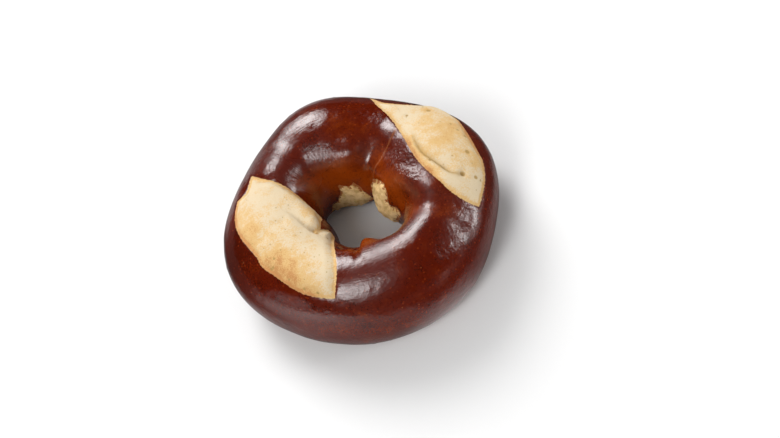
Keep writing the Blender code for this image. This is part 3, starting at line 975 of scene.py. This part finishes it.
class BagelSizes(bpy.types.PropertyGroup):
    """The sizes of the bread"""

    outer_diameter: length("Outer Diameter", "Across the ring at its widest", 112 * MM)
    hole_diameter: length("Hole Diameter", "Across the hole", 30 * MM)
    height: length("Height", "From the flat base to the crest", 40 * MM)
    base_sink: length("Base Sink", "How much of the round rope is flattened away at the base", 5 * MM)
    base_softness: length("Base Softness", "The round between the side and the base", 1.2 * MM)
    crumb_rise: length("Crumb Rise", "How far the crumb swells out of the splits", 1.3 * MM)
    lip_rise: length("Lip Rise", "How far the crust curls up round the splits", 0.04 * MM)
    tear_rise: length("Tear Rise", "How far the torn flesh bulges", 0.9 * MM)
    skin_waves: length("Skin Waves", "The height of the slow waves in the crust", 0.16 * MM)
    wrinkle_height: length("Wrinkle Height", "The height of wrinkles in squeezed crust", 0.2 * MM)
    blister_height: length("Blister Height", "The height of the largest blisters", 0.14 * MM)
    crest_detail: share("Crest Detail", "How much closer the mesh is on the crest than at the base", 0.45)
    ring_steps: steps("Ring Steps", "Faces round the ring, an even number", 512)
    tube_steps: steps("Tube Steps", "Faces round the rope, an even number", 192)


class BagelColours(bpy.types.PropertyGroup):
    """The colours and gloss of the bread"""

    mahogany: colour("Mahogany", "Most of the crust", (0.093, 0.0066, 0.0006))
    dark: colour("Dark Crust", "Where the crust baked darkest", (0.045, 0.0036, 0.0006))
    # Also painted light in one patch on the shaded wall at the back of the hole
    amber: colour("Amber", "Thin crust near the hole", (0.25, 0.038, 0.0015))
    speck: colour("Specks", "The tiny blisters all over the crust", (0.30, 0.045, 0.006))
    # Also the colour of the painted highlight along the seam's edge
    fleck: colour("Flecks", "Burst blisters and the edge of the seam", (0.36, 0.13, 0.045))
    under: colour("Underside", "The flat base", (0.18, 0.045, 0.013))
    crumb: colour("Crumb", "The palest crumb", (0.66, 0.53, 0.345))
    golden: colour("Golden", "Crumb that took some colour", (0.64, 0.40, 0.145))
    toasted: colour("Toasted", "The edges of the crumb", (0.50, 0.22, 0.055))
    # Painted shade at the bottom of the pores, the pinholes and the right crease
    pore: colour("Pores", "The bottom of pores and creases", (0.40, 0.24, 0.06))
    torn: colour("Torn Flesh", "Torn flesh in the light", (0.85, 0.59, 0.27))
    torn_shade: colour("Torn Shade", "The crevices in torn flesh", (0.60, 0.37, 0.12))
    fringe: colour("Fringe", "Crust that clings to the edge of torn flesh", (0.34, 0.10, 0.012))
    crust_ior: share("Crust IOR", "How strongly the crust reflects", 1.7, 3)
    gloss_roughness: share("Gloss Roughness", "Roughness of the glossiest crust", 0.11)
    satin_roughness: share("Satin Roughness", "Roughness of the softer patches in the glossy crust", 0.17)


class StudioLook(bpy.types.PropertyGroup):
    """The floor and the lamps"""

    floor_colour: colour("Floor", "The floor's paint", (0.80, 0.80, 0.80))
    back_brightness: share("Back Lamp", "Brightness of the lamp behind the bread", 9.5, 50)
    left_brightness: share("Left Lamp", "Brightness of the lamp at the front left", 11, 50)
    right_brightness: share("Right Lamp", "Brightness of the small lamp at the right", 17, 50)
    low_brightness: share("Low Lamp", "Brightness of the low lamp at the left", 0.8, 50)
    glare: share("Glare", "How strongly a few places of the floor glow in reflections", 1, 5)
    fill: share("Fill", "The light that the surroundings give", 0.4)
    gloom: share("Gloom", "How bright the surroundings are in reflections", 0.008)
    backdrop: share("Backdrop", "How bright the surroundings look", 0.8)


class BAGEL_OT_bread(bpy.types.Operator):
    """Make the bread with its crust, splits and tears"""

    bl_idname = "bagel.bread"
    bl_label = "Add Bread"

    def execute(self, context):
        if "bread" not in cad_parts:
            raise RuntimeError("the frame has no node for the bread")
        sizes = context.scene.bagel_sizes
        bread = make_bread(sizes)
        bread.data.materials.clear()
        bread.data.materials.append(bread_finish(context.scene.bagel_colours, Rope(sizes)))
        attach(bread, "root")
        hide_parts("bread")
        return {"FINISHED"}


class BAGEL_OT_studio(bpy.types.Operator):
    """Make the pale floor, the soft lamps and the camera"""

    bl_idname = "bagel.studio"
    bl_label = "Add Studio"

    def execute(self, context):
        look = context.scene.bagel_studio
        make_floor(look)
        make_world(look)
        make_lamp(BACK_LAMP, look.back_brightness)
        make_lamp(LEFT_LAMP, look.left_brightness)
        make_lamp(RIGHT_LAMP, look.right_brightness)
        make_lamp(LOW_LAMP, look.low_brightness)
        make_camera()
        context.scene.view_settings.view_transform = "Standard"
        return {"FINISHED"}


class BAGEL_PT_panel(bpy.types.Panel):
    """Lists the pieces, and the sizes and colours that they take"""

    bl_idname = "BAGEL_PT_panel"
    bl_label = "Pretzel Bagel"
    bl_space_type = "VIEW_3D"
    bl_region_type = "UI"
    bl_category = "Bagel"

    def draw(self, context):
        layout = self.layout
        for operator, group in (("bagel.bread", "bagel_sizes"), ("bagel.studio", "bagel_studio")):
            layout.operator(operator)
            for name in getattr(context.scene, group).__annotations__:
                layout.prop(getattr(context.scene, group), name)
        for name in BagelColours.__annotations__:
            layout.prop(context.scene.bagel_colours, name)


GROUPS = {"bagel_sizes": BagelSizes, "bagel_colours": BagelColours, "bagel_studio": StudioLook}
CLASSES = (*GROUPS.values(), BAGEL_OT_bread, BAGEL_OT_studio, BAGEL_PT_panel)


def register():
    for item in CLASSES:
        bpy.utils.register_class(item)
    for name, group in GROUPS.items():
        setattr(bpy.types.Scene, name, PointerProperty(type=group))


def unregister():
    for name in GROUPS:
        delattr(bpy.types.Scene, name)
    for item in reversed(CLASSES):
        bpy.utils.unregister_class(item)


def main():
    register()
    bpy.ops.bagel.bread()
    bpy.ops.bagel.studio()


if __name__ == "__main__":
    main()
